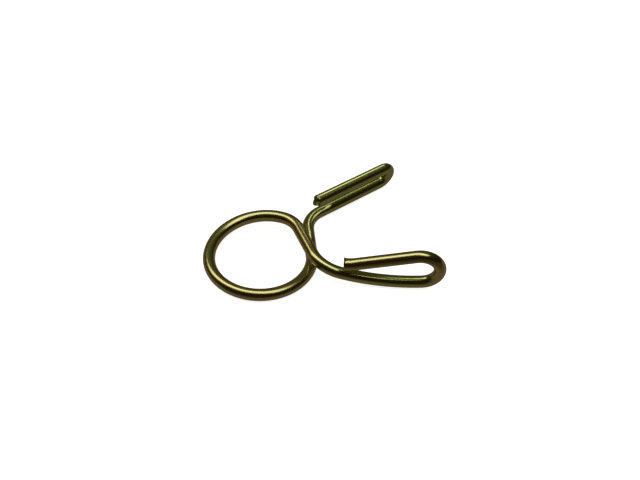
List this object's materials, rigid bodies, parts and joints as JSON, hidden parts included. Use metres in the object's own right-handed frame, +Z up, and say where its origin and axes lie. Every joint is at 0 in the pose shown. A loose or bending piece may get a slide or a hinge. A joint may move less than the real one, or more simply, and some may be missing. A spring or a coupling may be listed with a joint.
{
  "type": "spring wire tubing clamp",
  "caption": "Round spring wire bent into a ring that crosses itself, with finger loops on its arms: squeezing the loops opens the ring, and letting go grips a tube.",
  "frame": {"origin": "centre of the ring, on the surface that the clamp lies on", "axes": "+X from the ring's centre towards the arms and their finger loops, +Y towards the arm of the lower half, +Z up from the surface, along the axis of the tube that the ring grips"},
  "size_m": [0.0295, 0.0227, 0.0068],
  "materials": {
    "wire": "polished"
  },
  "bodies": {
    "root": {"clamp_wire": "wire"}
  },
  "joints": []
}
